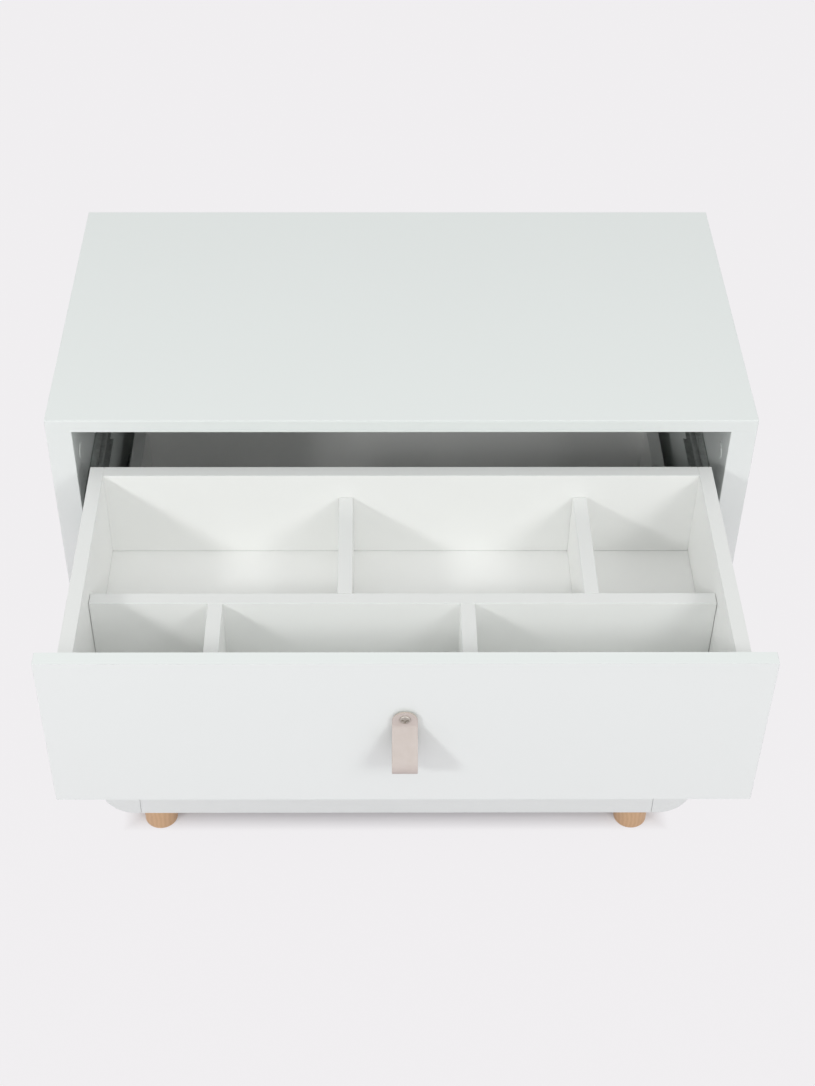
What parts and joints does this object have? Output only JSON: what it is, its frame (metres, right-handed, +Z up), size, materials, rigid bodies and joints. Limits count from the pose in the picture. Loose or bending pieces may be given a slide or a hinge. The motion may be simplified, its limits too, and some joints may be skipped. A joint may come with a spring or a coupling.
{
  "type": "chest of drawers",
  "caption": "Low chest of shallow drawers on ball-bearing runners, with leather strap pulls, round wooden feet and a divider set in the open top drawer.",
  "frame": {"origin": "on the floor under the centre of the whole chest's box as it stands, with the top drawer out to its stop", "axes": "+X to the right as one faces the chest, +Y to the back panel, +Z up. The drawers open along -Y."},
  "size_m": [0.6, 0.6174, 0.56],
  "materials": {
    "lacquered_board": "satin white lacquer on board",
    "drawer_board": "matte white foil on board",
    "back_board": "matte white thin board",
    "cap_plastic": "moulded white",
    "foot_wood": "pale solid wood, clear lacquer",
    "runner_steel": "zinc plated sheet steel",
    "strap_leather": "natural vegetable tanned, smooth",
    "screw_metal": "nickel plated"
  },
  "bodies": {
    "carcass": {"top_panel": "lacquered_board", "side_panel_left": "lacquered_board", "side_panel_right": "lacquered_board", "corner_block_left": "lacquered_board", "corner_block_right": "lacquered_board", "bottom_panel": "lacquered_board", "back_panel": "back_board", "cam_cap_left": "cap_plastic", "cam_cap_right": "cap_plastic", "foot_front_left": "foot_wood", "foot_front_right": "foot_wood", "foot_rear_left": "foot_wood", "foot_rear_right": "foot_wood", "top_cabinet_runner_left": "runner_steel", "top_cabinet_runner_right": "runner_steel", "middle_cabinet_runner_left": "runner_steel", "middle_cabinet_runner_right": "runner_steel", "bottom_cabinet_runner_left": "runner_steel", "bottom_cabinet_runner_right": "runner_steel"},
    "top_drawer": {"top_drawer_front": "lacquered_board", "top_drawer_side_left": "drawer_board", "top_drawer_side_right": "drawer_board", "top_drawer_back": "drawer_board", "top_drawer_floor": "drawer_board", "top_drawer_runner_left": "runner_steel", "top_drawer_runner_right": "runner_steel", "top_drawer_pull_strap": "strap_leather", "top_drawer_pull_screw": "screw_metal", "top_drawer_pull_nut": "runner_steel", "divider_long": "drawer_board", "divider_front_left": "drawer_board", "divider_front_right": "drawer_board", "divider_rear_left": "drawer_board", "divider_rear_right": "drawer_board"},
    "middle_drawer": {"middle_drawer_front": "lacquered_board", "middle_drawer_side_left": "drawer_board", "middle_drawer_side_right": "drawer_board", "middle_drawer_back": "drawer_board", "middle_drawer_floor": "drawer_board", "middle_drawer_runner_left": "runner_steel", "middle_drawer_runner_right": "runner_steel", "middle_drawer_pull_strap": "strap_leather", "middle_drawer_pull_screw": "screw_metal", "middle_drawer_pull_nut": "runner_steel"},
    "bottom_drawer": {"bottom_drawer_front": "lacquered_board", "bottom_drawer_side_left": "drawer_board", "bottom_drawer_side_right": "drawer_board", "bottom_drawer_back": "drawer_board", "bottom_drawer_floor": "drawer_board", "bottom_drawer_runner_left": "runner_steel", "bottom_drawer_runner_right": "runner_steel", "bottom_drawer_pull_strap": "strap_leather", "bottom_drawer_pull_screw": "screw_metal", "bottom_drawer_pull_nut": "runner_steel"},
    "top_left_middle_runner": {"top_middle_runner_left": "runner_steel"},
    "top_right_middle_runner": {"top_middle_runner_right": "runner_steel"},
    "middle_left_middle_runner": {"middle_middle_runner_left": "runner_steel"},
    "middle_right_middle_runner": {"middle_middle_runner_right": "runner_steel"},
    "bottom_left_middle_runner": {"bottom_middle_runner_left": "runner_steel"},
    "bottom_right_middle_runner": {"bottom_middle_runner_right": "runner_steel"}
  },
  "joints": [
    {"name": "top_drawer_slide", "type": "slide", "parent": "carcass", "child": "top_drawer", "axis": [0, -1, 0], "range_m": [-0.267, 0]},
    {"name": "middle_drawer_slide", "type": "slide", "parent": "carcass", "child": "middle_drawer", "axis": [0, -1, 0], "range_m": [0, 0.267]},
    {"name": "bottom_drawer_slide", "type": "slide", "parent": "carcass", "child": "bottom_drawer", "axis": [0, -1, 0], "range_m": [0, 0.267]},
    {"name": "top_left_middle_runner_slide", "type": "slide", "parent": "carcass", "child": "top_left_middle_runner", "axis": [0, -1, 0], "range_m": [-0.1335, 0]},
    {"name": "top_right_middle_runner_slide", "type": "slide", "parent": "carcass", "child": "top_right_middle_runner", "axis": [0, -1, 0], "range_m": [-0.1335, 0]},
    {"name": "middle_left_middle_runner_slide", "type": "slide", "parent": "carcass", "child": "middle_left_middle_runner", "axis": [0, -1, 0], "range_m": [0, 0.1335]},
    {"name": "middle_right_middle_runner_slide", "type": "slide", "parent": "carcass", "child": "middle_right_middle_runner", "axis": [0, -1, 0], "range_m": [0, 0.1335]},
    {"name": "bottom_left_middle_runner_slide", "type": "slide", "parent": "carcass", "child": "bottom_left_middle_runner", "axis": [0, -1, 0], "range_m": [0, 0.1335]},
    {"name": "bottom_right_middle_runner_slide", "type": "slide", "parent": "carcass", "child": "bottom_right_middle_runner", "axis": [0, -1, 0], "range_m": [0, 0.1335]}
  ],
  "couplings": [
    {"joint": "top_left_middle_runner_slide", "follows": "top_drawer_slide", "ratio": 0.5},
    {"joint": "top_right_middle_runner_slide", "follows": "top_drawer_slide", "ratio": 0.5},
    {"joint": "middle_left_middle_runner_slide", "follows": "middle_drawer_slide", "ratio": 0.5},
    {"joint": "middle_right_middle_runner_slide", "follows": "middle_drawer_slide", "ratio": 0.5},
    {"joint": "bottom_left_middle_runner_slide", "follows": "bottom_drawer_slide", "ratio": 0.5},
    {"joint": "bottom_right_middle_runner_slide", "follows": "bottom_drawer_slide", "ratio": 0.5}
  ]
}
